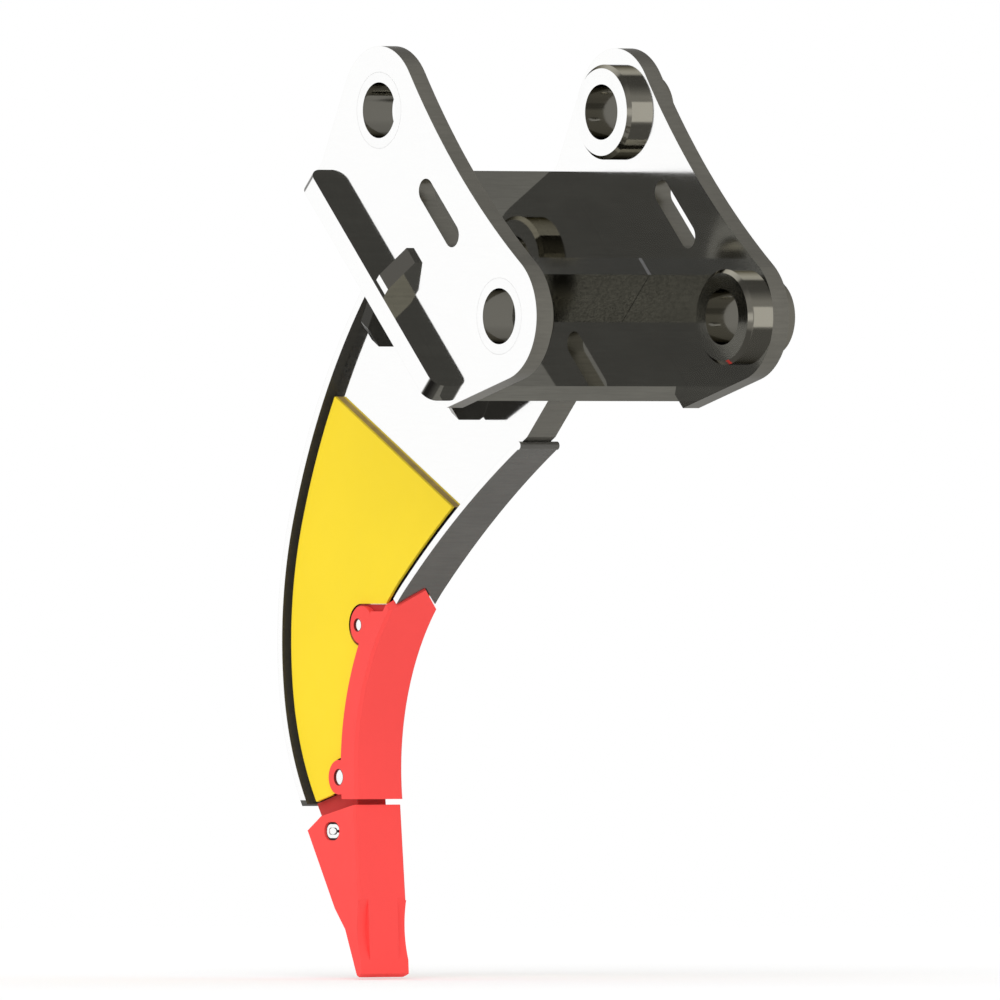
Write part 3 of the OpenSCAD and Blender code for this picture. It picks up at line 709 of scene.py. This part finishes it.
def hall_tone(w):
    """Tone of the hall: white to the left, a window behind the camera, dim or dark elsewhere"""
    towards = w.add("TexCoord").outputs["Generated"]
    parts = w.parts(towards)
    wall = w.ramp(w.dot(towards, LEFT_WALL), *WALL_BAND, DIM_TONE, WALL_TONE)
    window = w.ramp(w.dot(towards, WINDOW), *WINDOW_BAND, at_high=WINDOW_TONE)
    pit = w.ramp(parts["Y"], *PIT_SPREAD, *PIT_TONES)
    lid = w.ramp(parts["Y"], *LID_SPREAD, *LID_TONES)
    tone = w.choose(region(w, parts, PIT), w.math("MAXIMUM", wall, window), pit)
    tone = w.choose(region(w, parts, LID), tone, lid)
    return w.choose(region(w, parts, FAR_CORNER), tone, CORNER_TONE)


def studio_world(stage):
    """Even white light on all but bare steel, which mirrors the hall, before a white backdrop"""
    world = bpy.data.worlds.new("studio")
    bpy.context.scene.world = world
    world.use_nodes = True
    w = Wiring(world.node_tree)
    ray = w.add("LightPath").outputs
    white = rgba(grey(1.0))
    mirrored = w.add("Background", {"Color": hall_tone(w), "Strength": 1.0})
    plain = w.add("Background", {"Color": white, "Strength": 1.0})
    even = w.add("Background", {"Color": white, "Strength": stage.sky})
    clear = w.math("MAXIMUM", ray["Is Camera Ray"], ray["Is Transmission Ray"])
    lit = w.add("MixShader", {
        0: ray["Is Glossy Ray"], 1: even.outputs[0], 2: mirrored.outputs[0],
    })
    seen = w.add("MixShader", {0: clear, 1: lit.outputs[0], 2: plain.outputs[0]})
    w.add("OutputWorld", {"Surface": seen.outputs[0]})


def studio_floor(stage):
    """A wide pale floor just under the tip"""
    bpy.ops.object.select_all(action="DESELECT")
    height = CAD_BOX[0].z - stage.floor_gap
    bpy.ops.mesh.primitive_circle_add(
        vertices=96, radius=stage.floor_radius, fill_type="NGON", location=(0.0, 0.0, height))
    floor = bpy.context.object
    floor.name = "studio_floor"
    tone = grey(stage.floor_tone)
    made, w, surface, where = new_material(
        "pale_floor", tone, metal=0.0, roughness=0.9, specular=0.0)
    cloud = w.noise(where["Object"], size=0.8, detail=3.0)
    w.feed(surface, {"Base Color": w.mottle(cloud, tone, low=0.995, high=1.0)})
    floor.data.materials.append(made)
    floor.visible_glossy = False


def studio_camera(stage):
    """A distant camera level with the ripper"""
    back = Vector((math.sin(stage.azimuth), -math.cos(stage.azimuth), 0.0))
    right = Vector((math.cos(stage.azimuth), math.sin(stage.azimuth), 0.0))
    data = bpy.data.cameras.new("camera")
    data.lens = stage.lens
    data.sensor_width = 36.0
    camera = bpy.data.objects.new("camera", data)
    bpy.context.scene.collection.objects.link(camera)
    away = stage.frame_width * data.lens / data.sensor_width
    camera.location = right * stage.aim_right + Vector((0.0, 0.0, stage.aim_up)) + back * away
    camera.rotation_euler = (-back).to_track_quat("-Z", "Y").to_euler()
    data.clip_start = 1.0
    data.clip_end = 2.0 * away
    bpy.context.scene.camera = camera


def studio_lamp(stage):
    """One soft key light"""
    data = bpy.data.lights.new("key_light", "SUN")
    data.energy = stage.sun
    data.angle = stage.sun_spread
    lamp = bpy.data.objects.new("key_light", data)
    bpy.context.scene.collection.objects.link(lamp)
    lamp.rotation_euler = Vector(KEY_DIRECTION).to_track_quat("-Z", "Y").to_euler()
    lamp.visible_glossy = False


class RIPPER_OT_stage(bpy.types.Operator):
    """Set up the floor, the light and the camera"""

    bl_idname = "ripper.stage"
    bl_label = "Studio"

    def execute(self, context):
        stage = context.scene.ripper_stage
        context.scene.view_settings.view_transform = "Standard"
        studio_camera(stage)
        studio_world(stage)
        studio_floor(stage)
        studio_lamp(stage)
        return {"FINISHED"}


OPERATORS = (
    RIPPER_OT_stage, RIPPER_OT_ears, RIPPER_OT_bosses, RIPPER_OT_base, RIPPER_OT_shank,
    RIPPER_OT_wear_plates, RIPPER_OT_shroud, RIPPER_OT_tooth, RIPPER_OT_pins,
)


class RIPPER_PT_panel(bpy.types.Panel):
    """Lists the finishes and the studio"""

    bl_idname = "RIPPER_PT_panel"
    bl_label = "Ripper"
    bl_space_type = "VIEW_3D"
    bl_region_type = "UI"
    bl_category = "Ripper"

    def draw(self, context):
        for group in (context.scene.ripper_finish, context.scene.ripper_stage):
            box = self.layout.box()
            for name in group.__annotations__:
                box.prop(group, name)
        for kind in OPERATORS:
            self.layout.operator(kind.bl_idname)


CLASSES = (RipperFinish, RipperStage, *OPERATORS, RIPPER_PT_panel)


def register():
    for kind in CLASSES:
        bpy.utils.register_class(kind)
    bpy.types.Scene.ripper_finish = bpy.props.PointerProperty(type=RipperFinish)
    bpy.types.Scene.ripper_stage = bpy.props.PointerProperty(type=RipperStage)


def unregister():
    del bpy.types.Scene.ripper_stage
    del bpy.types.Scene.ripper_finish
    for kind in reversed(CLASSES):
        bpy.utils.unregister_class(kind)


def main():
    register()
    bpy.ops.ripper.stage()
    bpy.ops.ripper.ears()
    bpy.ops.ripper.bosses()
    bpy.ops.ripper.base()
    bpy.ops.ripper.shank()
    bpy.ops.ripper.wear_plates()
    bpy.ops.ripper.shroud()
    bpy.ops.ripper.tooth()
    bpy.ops.ripper.pins()


if __name__ == "__main__":
    main()
